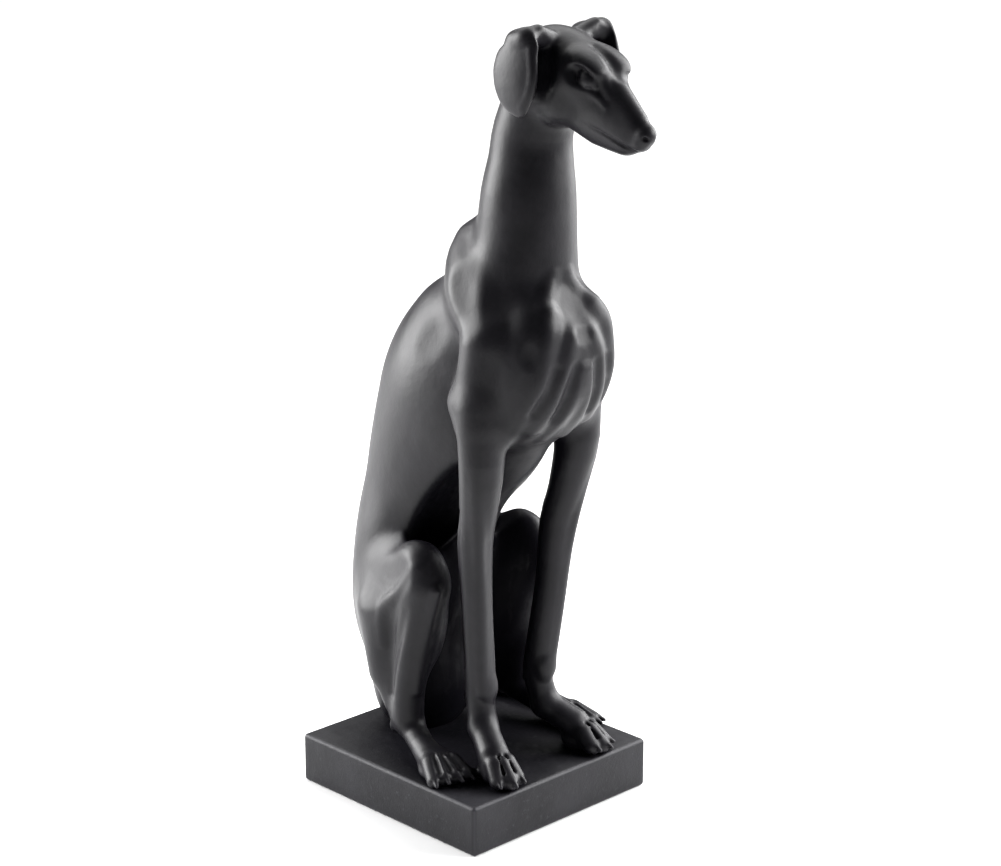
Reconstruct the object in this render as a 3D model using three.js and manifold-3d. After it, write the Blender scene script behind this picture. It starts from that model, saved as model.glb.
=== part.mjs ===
// Whippet sitting upright on a square plinth, one resin casting.
// Millimetres, +Z up. The origin is the centre of the plinth's underside.
// The dog faces -Y. Its right side is -X, its left side +X.
import * as THREE from 'three';
import { RoundedBoxGeometry } from 'three/addons/geometries/RoundedBoxGeometry.js';
import { mergeVertices } from 'three/addons/utils/BufferGeometryUtils.js';
import Module from 'manifold-3d';

// Driving dimensions
const PLINTH_WIDTH = 120;
const PLINTH_DEPTH = 126;
const PLINTH_HEIGHT = 25.5;
const PLINTH_EDGE_RADIUS = 2;
const FIGURE_HEIGHT = 367;

// How finely the figure is faceted
const CLAY_CELL = 2.6;
const FIGURE_TRIANGLES = 9000;

// The pose is written for a dog 367 tall that stands on z = 0, and is scaled to FIGURE_HEIGHT.
const POSE_HEIGHT = 367;

// The figure is modelled as lumps of clay melted together: eggs and limbs.
// Each lump has the sides that it is on, the blend radius that melts it into what is there already,
// and its place in the pose as [x, y, z]. A limb's points are [x, y, z, radius].
const ONE = [1];
const PAIR = [1, -1];

function ball(sides, blend, centre, radii, turn = [0, 0, 0]) {
  return sides.map((side) => egg(side, blend, centre, radii, turn));
}

function limb(sides, blend, points, flatness = 1) {
  return sides.map((side) => taperedLimb(side, blend, points, flatness));
}

// A dent is a ball that is pressed into the clay instead of added. A pressed limb makes a groove.
function dent(sides, blend, centre, radii, turn) {
  return pressed(ball(sides, blend, centre, radii, turn));
}

function pressed(lumps) {
  return lumps.map((lump) => ({ ...lump, pressed: true }));
}

// Keeps a division from meeting a zero
const TINY = 1e-9;

// An egg: a ball stretched along its own axes, which are turned by degrees about X, then Y, then Z
function egg(side, blend, [cx, cy, cz], [rx, ry, rz], [turnX, turnY, turnZ]) {
  const [a, b, c] = [turnX, turnY * side, turnZ * side].map(THREE.MathUtils.degToRad);
  const turned = new THREE.Matrix4().makeRotationFromEuler(new THREE.Euler(a, b, c, 'ZYX'));
  const m = new THREE.Matrix3().setFromMatrix4(turned).elements;
  const x0 = cx * side;
  const distance = (x, y, z) => {
    const dx = x - x0;
    const dy = y - cy;
    const dz = z - cz;
    const u = (m[0] * dx + m[1] * dy + m[2] * dz) / rx;
    const v = (m[3] * dx + m[4] * dy + m[5] * dz) / ry;
    const w = (m[6] * dx + m[7] * dy + m[8] * dz) / rz;
    const reach = Math.sqrt(u * u + v * v + w * w);
    const slope = Math.sqrt((u / rx) ** 2 + (v / ry) ** 2 + (w / rz) ** 2) + TINY;
    return (reach * (reach - 1)) / slope;
  };
  const half = [0, 1, 2].map((i) => Math.hypot(m[i] * rx, m[3 + i] * ry, m[6 + i] * rz));
  const centre = [x0, cy, cz];
  return {
    blend,
    distance,
    low: centre.map((v, i) => v - half[i]),
    high: centre.map((v, i) => v + half[i]),
  };
}

// A limb: round cones from point to point, flattened from side to side
function taperedLimb(side, blend, points, flatness) {
  const spots = points.map(([x, y, z, r]) => [x * side, y, z, r]);
  const cones = spots.slice(1).map((end, i) => roundCone(spots[i], end, flatness));
  return {
    blend,
    distance: (x, y, z) => {
      let nearest = Infinity;
      for (const cone of cones) nearest = Math.min(nearest, cone(x, y, z));
      return nearest;
    },
    low: [0, 1, 2].map((i) => Math.min(...spots.map((p) => p[i] - p[3]))),
    high: [0, 1, 2].map((i) => Math.max(...spots.map((p) => p[i] + p[3]))),
  };
}

// The distance to a cone with a ball at each end
function roundCone([ax, ay, az, ra], [bx, by, bz, rb], flatness) {
  const startX = ax / flatness;
  const dx = bx / flatness - startX;
  const dy = by - ay;
  const dz = bz - az;
  const length2 = dx * dx + dy * dy + dz * dz;
  const taper = ra - rb;
  const side2 = length2 - taper * taper;
  return (x, y, z) => {
    const px = x / flatness - startX;
    const py = y - ay;
    const pz = z - az;
    const along = px * dx + py * dy + pz * dz;
    const past = along - length2;
    const across2 = (px * length2 - dx * along) ** 2 + (py * length2 - dy * along) ** 2
      + (pz * length2 - dz * along) ** 2;
    const along2 = along * along * length2;
    const past2 = past * past * length2;
    const limit = Math.sign(taper) * taper * taper * across2;
    let d = (Math.sqrt((across2 * side2) / length2) + along * taper) / length2 - ra;
    if (Math.sign(past) * side2 * past2 > limit) d = Math.sqrt(across2 + past2) / length2 - rb;
    else if (Math.sign(along) * side2 * along2 < limit) d = Math.sqrt(across2 + along2) / length2 - ra;
    return d * flatness;
  };
}

// Trunk: ribs, belly, rump, neck, breast and shoulders
function trunk() {
  return [
    ball(ONE, 8, [0, 6, 180.5], [33, 47, 68], [27, 0, 0]), // ribcage
    ball(ONE, 16, [0, -15, 172.5], [20, 31, 50], [36, 0, 0]), // keel of the chest
    ball(ONE, 18, [0, 30.5, 120], [28.5, 38.5, 56], [12, 0, 0]), // loin
    ball(ONE, 16, [0, 41, 74.5], [35, 31, 58], [4, 0, 0]), // rump
    ball(ONE, 12, [0, 36, 22.5], [29, 23, 30]), // seat
    // neck
    limb(ONE, 14, [
      [0, -30, 236.5, 30], [0, -36, 258.5, 24.5], [0, -38, 283.5, 22.4], [0, -39.5, 299.5, 20],
      [0, -41, 314.5, 18.6], [0, -49.5, 336.5, 17],
    ]),
    ball(PAIR, 12, [16, -50, 203.5], [19, 20, 36], [14, 0, 0]), // breast muscles
    ball(ONE, 12, [0, -47.5, 205], [22, 27, 35], [20, 0, 0]), // breastbone
    ball(PAIR, 6, [16, -59, 226], [9.5, 11, 9.5]), // points of the breast
    limb(ONE, 10, [[0, -18, 260, 13], [0, -9, 246, 13], [0, -2, 227, 14], [0, 10, 218, 14]]), // withers
    dent(PAIR, 8, [39, -3, 221], [9, 10, 17], [24, 0, 0]), // hollow behind the shoulder
    // shoulder blade
    limb(PAIR, 10, [
      [8, -8, 259, 7], [14, -12, 249.5, 9.5], [22, -26, 236.5, 12], [27, -40, 221.5, 11.5],
    ]),
    limb(PAIR, 8, [[27, -41, 218.5, 11.5], [30.5, -34, 200, 9.2], [32, -30.5, 189, 8]]), // upper arm
    // outer fold of the breast
    limb(PAIR, 5, [
      [14.6, -65, 233.5, 4], [18.8, -67.6, 223.7, 4], [21.2, -67.8, 210, 3.8],
      [22.8, -65.8, 201, 3.8], [25.2, -57.4, 186, 3.8], [26, -48, 174.8, 3.4],
    ]),
    // inner fold
    limb(PAIR, 5, [
      [6, -71, 223, 3.6], [10.4, -71.4, 211, 3.8], [14.2, -69, 200, 3.8],
      [15.2, -65.2, 190.4, 3.8], [17.4, -58, 180, 3.4],
    ]),
    // fold next to the middle
    limb(PAIR, 5, [
      [2.6, -72.6, 207, 3], [3.6, -70.6, 195.8, 3.6], [6, -63.6, 183.4, 3.6],
      [6.6, -54.2, 173.4, 3.2],
    ]),
  ];
}

// Hind leg, folded so that the knee stands high
function hindLeg() {
  return [
    ball(PAIR, 4, [28, 21, 70], [14, 28, 38], [12, 0, 0]), // thigh
    limb(PAIR, 8, [[32, 18, 82, 13], [34.5, 1, 98.5, 14.5]], 0.7), // thigh to knee
    // crest of the thigh
    limb(PAIR, 5, [
      [38, -2, 101, 6.5], [38, 5, 93, 6.5], [38, 13.6, 80, 6.5], [37, 20.5, 66, 6.5],
      [36, 26, 50, 6.5], [35.5, 28, 38, 6],
    ]),
    // shin
    limb(PAIR, 8, [[36, -4.5, 90, 11], [37.5, 2, 58.5, 9], [37.5, 7, 34.5, 8], [37.5, 7.5, 18.5, 7.6]]),
    // back of the thigh
    limb(PAIR, 8, [
      [31, 30, 70.5, 14], [32, 27, 59.5, 13], [33, 24, 44.5, 11], [33, 20, 26.5, 8.5],
      [34, 17, 18.5, 6],
    ]),
    limb(PAIR, 3, [[37, 8, 16.5, 6], [37, 17, 11.5, 3.5]]), // heel
  ];
}

// A toe from its root to its tip, arched at the knuckle
const KNUCKLE_SHARE = 0.6;
const KNUCKLE_LIFT = 2.5;
const KNUCKLE_SWELL = 1.06;
const TIP_TAPER = 0.95;

function toe(root, tip, radius) {
  const knuckle = root.map((v, i) => v + (tip[i] - v) * KNUCKLE_SHARE);
  knuckle[2] += KNUCKLE_LIFT;
  const points = [[...root, radius], [...knuckle, radius * KNUCKLE_SWELL], [...tip, radius * TIP_TAPER]];
  return limb(PAIR, 1.6, points);
}

// Hind paw: instep and four toes
function hindPaw() {
  return [
    limb(PAIR, 3, [[37, 6, 14.5, 6.5], [41, -6, 9.5, 6.2], [44, -14, 7.5, 6.8]]), // instep
    ball(PAIR, 2.5, [46.5, -22, 3], [8.5, 11.5, 5], [0, 0, 25]), // pad
    toe([42, -8, 8.5], [55.5, -30.5, 2.5], 4),
    toe([43, -12, 8.5], [51, -33, 3.5], 4.2),
    toe([43, -14, 8.5], [46, -35.5, 3.5], 4.2),
    toe([42, -14, 8.5], [41, -37, 3.5], 4.2),
  ];
}

// Foreleg with its paw
function foreleg() {
  return [
    limb(PAIR, 5, [
      [32.5, -38, 186.5, 11], [32.5, -40, 162.5, 11], [30, -35, 134.5, 9], [28, -30.6, 116.5, 8.6],
      [25.4, -28.9, 84.5, 7.7], [21, -26.4, 49.5, 7.6], [20, -25.5, 36.5, 7.3], [21.5, -29, 21, 7],
    ]),
    limb(PAIR, 5, [[32.5, -29.5, 189, 7], [33, -31, 179, 6]]), // elbow
    limb(PAIR, 4, [[22, -30, 20, 7], [28, -43, 12.5, 7.6]]), // pastern
    ball(PAIR, 2.5, [29, -46, 4], [7, 11, 6]), // pad
    toe([27, -37, 12.5], [34, -48, 4], 4.4),
    toe([28, -40, 12.5], [36.5, -55, 4], 4.4),
    toe([28, -41, 12.5], [32, -59, 4], 4.4),
    toe([26.5, -41, 12.5], [26.5, -57.5, 4], 4.4),
  ];
}

// The head hangs forward from a pivot in the skull.
// Its places are given in its own axes: to the side, forward along the muzzle and up.
const HEAD_Y = -64.7;
const HEAD_Z = 348;
const NOD = THREE.MathUtils.degToRad(26);

function h(side, forward, up, ...radius) {
  const y = HEAD_Y - forward * Math.cos(NOD) - up * Math.sin(NOD);
  const z = HEAD_Z - forward * Math.sin(NOD) + up * Math.cos(NOD);
  return [side, y, z, ...radius];
}

// Head, nodding a little: skull, face, muzzle and nose
function head() {
  return [
    ball(ONE, 4, h(0, 0, -1.5), [17.5, 25, 15.5], [26, 0, 0]), // skull
    ball(ONE, 6, h(0, 12.5, 2), [14.5, 14, 11.5], [26, 0, 0]), // forehead
    // muzzle
    limb(ONE, 5, [
      h(0, 12, -6, 16), h(0, 26, -6.6, 14.8), h(0, 39, -7.6, 11.6), h(0, 46, -7.3, 9.2),
      h(0, 49.5, -6, 6.6),
    ], 0.66),
    limb(ONE, 5, [h(0, 12, -15, 10), h(0, 28, -16, 7.5), h(0, 44, -13, 5)], 0.8), // lower jaw
    limb(ONE, 4, [h(0, 16, 8, 6), h(0, 30, 3.6, 5), h(0, 46, -1.6, 4.2)]), // bridge of the nose
    ball(ONE, 2, h(0, 53.8, -4.2), [4.8, 5, 5.2], [26, 0, 0]), // nose
    ball(ONE, 2, h(0, 53, -8.6), [4.6, 3.8, 3.6], [26, 0, 0]), // upper lip
    ball(PAIR, 6, h(8, 4, -14), [8, 13, 11], [26, 0, 0]), // cheek
    ball(PAIR, 5, h(8.4, 16, 10.2), [5.8, 9.6, 3.7], [26, 0, 0]), // brow
    dent(PAIR, 1.6, h(16.6, 20.5, 5.8), [6.2, 9.8, 5.8], [28, 0, 0]), // eye socket
    ball(PAIR, 1, h(10.4, 20, 5.2), [3.1, 4.8, 3.6], [24, 0, 0]), // eye
    // hollow inside the ear
    pressed(limb(PAIR, 2.5, [[21, -64, 335, 4.4], [20.4, -66, 346, 6.2], [19.6, -66, 355, 5.6]])),
  ];
}

// Ears, folded over and hanging
function ears() {
  return [
    // hanging flap
    limb(PAIR, 2, [
      [25, -61.5, 356.4, 7.4], [26.6, -56.4, 347, 12.7], [27.2, -56, 339, 11.4],
      [26.8, -58.5, 331.6, 6],
    ], 0.3),
    // fold, front
    limb(PAIR, 3, [[11, -61, 359.5, 4.6], [18.5, -62, 363.4, 3.4], [24.6, -61, 361, 3.8]]),
    ball(PAIR, 4, [19.5, -56.5, 360], [8, 8, 4.6]), // fold
    ball(PAIR, 4, [19, -48.5, 346], [8, 4.5, 11]), // root behind
  ];
}

// The tail lies on the plinth round the left haunch.
function tail() {
  return [
    limb(ONE, 5, [
      [0, 57, 22, 8], [6, 60, 9, 6.5], [22, 57, 5.5, 5.6], [38, 47, 4.6, 5], [49, 30, 4.2, 4.6],
      [52.5, 12, 3.8, 4.2], [51, 2, 3.2, 3.2],
    ]),
  ];
}

// The whole figure: each part is built up by itself, then melted into the rest.
const FIGURE = [
  { joint: 0, lumps: trunk().flat() },
  { joint: 7, lumps: hindLeg().flat() },
  { joint: 3, lumps: hindPaw().flat() },
  { joint: 7, lumps: foreleg().flat() },
  { joint: 6, lumps: head().flat() },
  { joint: 2.5, lumps: ears().flat() },
  { joint: 4, lumps: tail().flat() },
];

// Two distances melted over a blend radius
function melt(a, b, blend) {
  const overlap = Math.max(blend - Math.abs(a - b), 0);
  return Math.min(a, b) - (blend > 0 ? (overlap * overlap) / (4 * blend) : 0);
}

// Farther out than this the distance isn't followed, and the grid stands this many cells clear of the clay.
const FAR = 25;
const CLEAR_CELLS = 3;

// The clay on a grid: at each grid point the distance to the surface, below zero inside
function clayGrid(parts, cell) {
  const lumps = parts.flatMap((part) => part.lumps);
  const low = [0, 1, 2].map((i) => Math.min(...lumps.map((lump) => lump.low[i])) - CLEAR_CELLS * cell);
  const high = [0, 1, 2].map((i) => Math.max(...lumps.map((lump) => lump.high[i])) + CLEAR_CELLS * cell);
  const count = [0, 1, 2].map((i) => Math.ceil((high[i] - low[i]) / cell) + 1);
  const clay = new Float32Array(count[0] * count[1] * count[2]).fill(FAR);
  for (const { joint, lumps: own } of parts) {
    const layer = new Float32Array(clay.length).fill(FAR);
    for (const lump of own) addLump(layer, lump, low, count, cell);
    for (let i = 0; i < clay.length; i += 1) clay[i] = melt(clay[i], layer[i], joint);
  }
  return { clay, low, count, cell };
}

// Only the grid points that a lump can reach are worked out.
function addLump(layer, lump, low, count, cell) {
  const margin = lump.blend + (CLEAR_CELLS + 1) * cell;
  const from = low.map((v, i) => Math.max(0, Math.floor((lump.low[i] - margin - v) / cell)));
  const to = low.map((v, i) => Math.min(count[i] - 1, Math.ceil((lump.high[i] + margin - v) / cell)));
  for (let k = from[2]; k <= to[2]; k += 1) {
    for (let j = from[1]; j <= to[1]; j += 1) {
      for (let i = from[0]; i <= to[0]; i += 1) {
        const at = i + count[0] * (j + count[1] * k);
        const d = lump.distance(low[0] + i * cell, low[1] + j * cell, low[2] + k * cell);
        layer[at] = lump.pressed ? -melt(-layer[at], d, lump.blend) : melt(layer[at], d, lump.blend);
      }
    }
  }
}

// Each grid cube is cut into six tetrahedra round its diagonal.
// A corner's number holds its x, y and z as bits.
const TETRAHEDRA = [[0, 1, 3, 7], [0, 3, 2, 7], [0, 2, 6, 7], [0, 6, 4, 7], [0, 4, 5, 7], [0, 5, 1, 7]];
// For each set of corners inside the clay: the corners in an even order, with the inside ones first
const ORDER = {
  1: [0, 1, 2, 3], 2: [1, 0, 3, 2], 4: [2, 0, 1, 3], 8: [3, 0, 2, 1],
  3: [0, 1, 2, 3], 5: [0, 2, 3, 1], 9: [0, 3, 1, 2], 6: [1, 2, 0, 3], 10: [1, 3, 2, 0], 12: [2, 3, 0, 1],
};

// A crossing keeps this share of the grid line away from each of its ends.
const CROSSING_MARGIN = 0.1;

// The surface of the clay as one closed mesh
function claySurface({ clay, low, count, cell }) {
  const points = [];
  const faces = [];
  const known = new Map();
  const step = [1, count[0], count[0] * count[1]];
  const offset = [];
  for (let c = 0; c < 8; c += 1) {
    offset.push((c & 1) * step[0] + ((c >> 1) & 1) * step[1] + (c >> 2) * step[2]);
  }
  const gridPoint = (at) => [at % count[0], Math.floor(at / step[1]) % count[1], Math.floor(at / step[2])];

  // The point where the surface crosses the line between two corners of the cube at a grid place
  const crossing = (place, p, q) => {
    const [near, far] = p < q ? [p, q] : [q, p];
    const a = place + offset[near];
    const key = a * 8 + (near ^ far);
    if (known.has(key)) return known.get(key);
    const b = place + offset[far];
    const share = clay[a] / (clay[a] - clay[b]);
    const t = THREE.MathUtils.clamp(share, CROSSING_MARGIN, 1 - CROSSING_MARGIN);
    const start = gridPoint(a);
    const end = gridPoint(b);
    points.push(start.map((v, i) => low[i] + cell * (v + t * (end[i] - v))));
    known.set(key, points.length - 1);
    return points.length - 1;
  };

  for (let k = 0; k < count[2] - 1; k += 1) {
    for (let j = 0; j < count[1] - 1; j += 1) {
      for (let i = 0; i < count[0] - 1; i += 1) {
        const place = i + j * step[1] + k * step[2];
        const inside = offset.map((o) => clay[place + o] < 0);
        if (inside.every(Boolean) || !inside.some(Boolean)) continue;
        for (const corners of TETRAHEDRA) {
          const mask = corners.reduce((sum, c, bit) => sum + (inside[c] ? 1 << bit : 0), 0);
          if (mask === 0 || mask === 15) continue;
          const flipped = !(mask in ORDER);
          const [a, b, c, d] = ORDER[flipped ? 15 - mask : mask].map((n) => corners[n]);
          const pairInside = [3, 5, 9, 6, 10, 12].includes(mask);
          const triangles = pairInside
            ? [[[a, c], [a, d], [b, d]], [[a, c], [b, d], [b, c]]]
            : [[[a, b], [a, c], [a, d]]];
          for (const edges of triangles) {
            const face = edges.map(([p, q]) => crossing(place, p, q));
            faces.push(flipped ? face.reverse() : face);
          }
        }
      }
    }
  }
  return { points, faces };
}

// While the mesh is thinned, a facet may turn this far (as a cosine) and may not get narrower than this.
const TURN_LIMIT = 0.3;
const NARROW_LIMIT = 0.02;

// Thinning a mesh: edges whose loss moves the surface least are closed up first, so that flat stretches
// get few facets while paws, ears and face keep theirs.
function thin({ points, faces }, wanted) {
  const place = points.map((p) => [...p]);
  const face = faces.map((f) => [...f]);
  const around = points.map(() => new Set());
  face.forEach((f, i) => f.forEach((v) => around[v].add(i)));
  const version = new Uint32Array(points.length);
  const quadric = points.map(() => new Float64Array(10));
  for (const f of face) {
    const plane = facePlane(...f.map((v) => place[v]));
    for (const v of f) addPlane(quadric[v], plane);
  }
  const heap = [];
  const offer = (a, b) => {
    const sum = quadric[a].map((value, i) => value + quadric[b][i]);
    const spot = bestSpot(sum, place[a], place[b]);
    pushHeap(heap, { cost: quadricCost(sum, spot), a, b, spot, stamp: version[a] + version[b] });
  };
  const neighbours = (v) => {
    const found = new Set();
    for (const i of around[v]) for (const w of face[i]) found.add(w);
    found.delete(v);
    return found;
  };
  points.forEach((_, a) => neighbours(a).forEach((b) => {
    if (a < b) offer(a, b);
  }));

  let left = face.length;
  while (left > wanted && heap.length > 0) {
    const { a, b, spot, stamp } = popHeap(heap);
    if (around[a].size === 0 || around[b].size === 0 || stamp !== version[a] + version[b]) continue;
    const nextToB = neighbours(b);
    const shared = [...neighbours(a)].filter((v) => nextToB.has(v));
    if (!nextToB.has(a) || shared.length !== 2) continue;
    if (turnsOver(a, b, spot) || turnsOver(b, a, spot)) continue;
    for (const i of around[b]) {
      if (around[a].has(i)) {
        face[i].forEach((v) => v !== b && around[v].delete(i));
        left -= 1;
      } else {
        face[i] = face[i].map((v) => (v === b ? a : v));
        around[a].add(i);
      }
    }
    around[b].clear();
    quadric[a].forEach((_, i) => { quadric[a][i] += quadric[b][i]; });
    place[a] = spot;
    version[a] += version[b] + 1;
    neighbours(a).forEach((v) => offer(a, v));
  }

  // True when closing the edge to the other point would fold a facet over or make it a sliver
  function turnsOver(v, other, spot) {
    for (const i of around[v]) {
      if (face[i].includes(other)) continue;
      const oldCorners = face[i].map((w) => place[w]);
      const newCorners = face[i].map((w) => (w === v ? spot : place[w]));
      const before = facePlane(...oldCorners);
      const after = facePlane(...newCorners);
      const cosine = before[0] * after[0] + before[1] * after[1] + before[2] * after[2];
      const narrowest = Math.min(NARROW_LIMIT, roundness(oldCorners, before[4]));
      if (cosine < TURN_LIMIT || roundness(newCorners, after[4]) < narrowest) return true;
    }
    return false;
  }

  const number = new Map();
  const kept = [];
  const facesKept = [];
  face.forEach((f, i) => {
    if (!around[f[0]].has(i)) return;
    facesKept.push(f.map((v) => {
      if (!number.has(v)) number.set(v, kept.push(place[v]) - 1);
      return number.get(v);
    }));
  });
  return { points: kept, faces: facesKept };
}

// A facet's unit normal, its offset from the origin and its area
function facePlane([ax, ay, az], [bx, by, bz], [cx, cy, cz]) {
  const x = (by - ay) * (cz - az) - (bz - az) * (cy - ay);
  const y = (bz - az) * (cx - ax) - (bx - ax) * (cz - az);
  const z = (bx - ax) * (cy - ay) - (by - ay) * (cx - ax);
  const size = Math.sqrt(x * x + y * y + z * z) || TINY;
  return [x / size, y / size, z / size, -(x * ax + y * ay + z * az) / size, size / 2];
}

// Area against the longest side squared: 0.43 for an even-sided facet, near 0 for a sliver
function roundness([a, b, c], area) {
  const side2 = (p, q) => (p[0] - q[0]) ** 2 + (p[1] - q[1]) ** 2 + (p[2] - q[2]) ** 2;
  return area / Math.max(side2(a, b), side2(b, c), side2(c, a), TINY);
}

// A quadric sums squared distances to planes: [xx, xy, xz, xd, yy, yz, yd, zz, zd, dd].
function addPlane(quadric, [x, y, z, d, area]) {
  [x * x, x * y, x * z, x * d, y * y, y * z, y * d, z * z, z * d, d * d].forEach((value, i) => {
    quadric[i] += value * area;
  });
}

function quadricCost(q, [x, y, z]) {
  return Math.abs(q[0] * x * x + 2 * q[1] * x * y + 2 * q[2] * x * z + 2 * q[3] * x + q[4] * y * y
    + 2 * q[5] * y * z + 2 * q[6] * y + q[7] * z * z + 2 * q[8] * z + q[9]);
}

// Below this share of the planes' spread, the best place is unsure. It may lie this many edge lengths away.
const UNSURE = 1e-6;
const REACH = 2;

// The place that keeps the surface best, or the edge's better end or middle where that place is unsure
function bestSpot(q, a, b) {
  const middle = a.map((v, i) => (v + b[i]) / 2);
  const span = Math.hypot(a[0] - b[0], a[1] - b[1], a[2] - b[2]);
  const c0 = q[4] * q[7] - q[5] * q[5];
  const c1 = q[2] * q[5] - q[1] * q[7];
  const c2 = q[1] * q[5] - q[2] * q[4];
  const det = q[0] * c0 + q[1] * c1 + q[2] * c2;
  if (Math.abs(det) > UNSURE * (q[0] + q[4] + q[7]) ** 3) {
    const solved = [
      -(c0 * q[3] + c1 * q[6] + c2 * q[8]) / det,
      -(c1 * q[3] + (q[0] * q[7] - q[2] * q[2]) * q[6] + (q[1] * q[2] - q[0] * q[5]) * q[8]) / det,
      -(c2 * q[3] + (q[1] * q[2] - q[0] * q[5]) * q[6] + (q[0] * q[4] - q[1] * q[1]) * q[8]) / det,
    ];
    if (Math.hypot(...solved.map((v, i) => v - middle[i])) < REACH * span) return solved;
  }
  return [a, b, middle].reduce((best, p) => (quadricCost(q, p) < quadricCost(q, best) ? p : best));
}

// A heap gives the cheapest item first.
function pushHeap(heap, item) {
  let i = heap.push(item) - 1;
  while (i > 0) {
    const parent = (i - 1) >> 1;
    if (heap[parent].cost <= item.cost) break;
    heap[i] = heap[parent];
    i = parent;
  }
  heap[i] = item;
}

function popHeap(heap) {
  const top = heap[0];
  const item = heap.pop();
  if (heap.length === 0) return top;
  let i = 0;
  for (;;) {
    let child = 2 * i + 1;
    if (child >= heap.length) break;
    if (child + 1 < heap.length && heap[child + 1].cost < heap[child].cost) child += 1;
    if (heap[child].cost >= item.cost) break;
    heap[i] = heap[child];
    i = child;
  }
  heap[i] = item;
  return top;
}

// The figure as a closed mesh at its real size, its feet on the plinth
function figureGeometry() {
  const surface = thin(claySurface(clayGrid(FIGURE, CLAY_CELL)), FIGURE_TRIANGLES);
  const geometry = new THREE.BufferGeometry();
  geometry.setAttribute('position', new THREE.Float32BufferAttribute(surface.points.flat(), 3));
  geometry.setIndex(surface.faces.flat());
  const scale = FIGURE_HEIGHT / POSE_HEIGHT;
  return geometry.scale(scale, scale, scale).translate(0, 0, PLINTH_HEIGHT);
}

// Facets round a quarter of the plinth's rounded edge
const EDGE_STEPS = 2;

// Points closer together than this are one point.
const SAME_POINT = 1e-4;

// The plinth stands on z = 0. Its faces share their corner points, so that it is one closed mesh.
function plinthGeometry() {
  const size = [PLINTH_WIDTH, PLINTH_DEPTH, PLINTH_HEIGHT];
  const block = new RoundedBoxGeometry(...size, EDGE_STEPS, PLINTH_EDGE_RADIUS);
  block.deleteAttribute('normal');
  block.deleteAttribute('uv');
  return mergeVertices(block.translate(0, 0, PLINTH_HEIGHT / 2), SAME_POINT);
}

// Both are cast in one, so they become one closed body.
const wasm = await Module();
wasm.setup();

function solidOf(geometry) {
  return new wasm.Manifold(new wasm.Mesh({
    numProp: 3,
    vertProperties: new Float32Array(geometry.attributes.position.array),
    triVerts: new Uint32Array(geometry.index.array),
  }));
}

function geometryOf(solid) {
  const { vertProperties, triVerts } = solid.getMesh();
  const geometry = new THREE.BufferGeometry();
  geometry.setAttribute('position', new THREE.BufferAttribute(vertProperties, 3));
  geometry.setIndex(new THREE.BufferAttribute(triVerts, 1));
  geometry.computeVertexNormals();
  return geometry;
}

const casting = new THREE.Mesh(
  geometryOf(solidOf(figureGeometry()).add(solidOf(plinthGeometry()))),
  new THREE.MeshStandardMaterial({ color: 0x2e2d31, roughness: 0.48, metalness: 0 }),
);
casting.name = 'whippet_on_plinth';

const group = new THREE.Group();
group.add(casting);

export default group;
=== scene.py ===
# %% [markdown]
# # A whippet figurine in black resin
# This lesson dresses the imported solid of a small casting: a whippet that sits upright on a square plinth.
# The solid is faceted. Here the same forms are modelled again as fine clay, with the creases, folds and
# claws that a sculptor would cut last, and the whole gets the look of satin black resin.
#
# Every length below is in millimetres until a mesh is made. The dog faces -Y and its right side is -X.

# %% Load the solid as the frame
import math
import time

import bmesh
import bpy
import numpy as np
from mathutils import Matrix, Vector


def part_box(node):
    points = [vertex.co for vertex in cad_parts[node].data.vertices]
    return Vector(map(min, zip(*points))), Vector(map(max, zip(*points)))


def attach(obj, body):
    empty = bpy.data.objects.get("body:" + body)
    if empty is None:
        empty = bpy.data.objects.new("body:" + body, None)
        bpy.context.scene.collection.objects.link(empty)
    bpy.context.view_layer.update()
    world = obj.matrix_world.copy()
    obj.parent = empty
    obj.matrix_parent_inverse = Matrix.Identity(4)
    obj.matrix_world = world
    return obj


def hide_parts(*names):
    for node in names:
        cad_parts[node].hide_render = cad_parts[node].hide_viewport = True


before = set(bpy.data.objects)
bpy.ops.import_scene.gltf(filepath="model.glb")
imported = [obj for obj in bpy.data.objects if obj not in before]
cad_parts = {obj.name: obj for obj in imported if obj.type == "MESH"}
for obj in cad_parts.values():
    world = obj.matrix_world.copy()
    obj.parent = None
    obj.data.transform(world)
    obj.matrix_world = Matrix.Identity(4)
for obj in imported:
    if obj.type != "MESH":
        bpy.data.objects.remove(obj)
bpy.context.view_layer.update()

NODE = "whippet_on_plinth"
METRES = 0.001
low, high = (np.array(corner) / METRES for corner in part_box(NODE))
print("solid from", low.round(1), "to", high.round(1), "mm")

# %% [markdown]
# The plinth's size is the driving size of the part. The dog's height is what is left above it.

# %% Sizes
PLINTH_WIDTH = 120.0
PLINTH_DEPTH = 126.0
PLINTH_HEIGHT = 25.5
PLINTH_EDGE_RADIUS = 2.0
GROUND = low[2] + PLINTH_HEIGHT
print("the dog stands at z =", GROUND, "and is", round(high[2] - GROUND, 1), "mm tall")

# %% [markdown]
# ## Camera
# The photograph looks down a little at the dog's right front quarter. The lens and the place come from
# the plinth's corners, whose lines run together only slowly: the camera stands over a metre away.

# %% Camera at the photograph's viewing angle
CAMERA_PLACE = (-808.2, -849.0, 535.3)
CAMERA_TURN = -44.25
CAMERA_DIP = 16.6
FOCAL_PIXELS = 2500.0
IMAGE_WIDTH = 1001
SENSOR = 36.0

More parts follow.
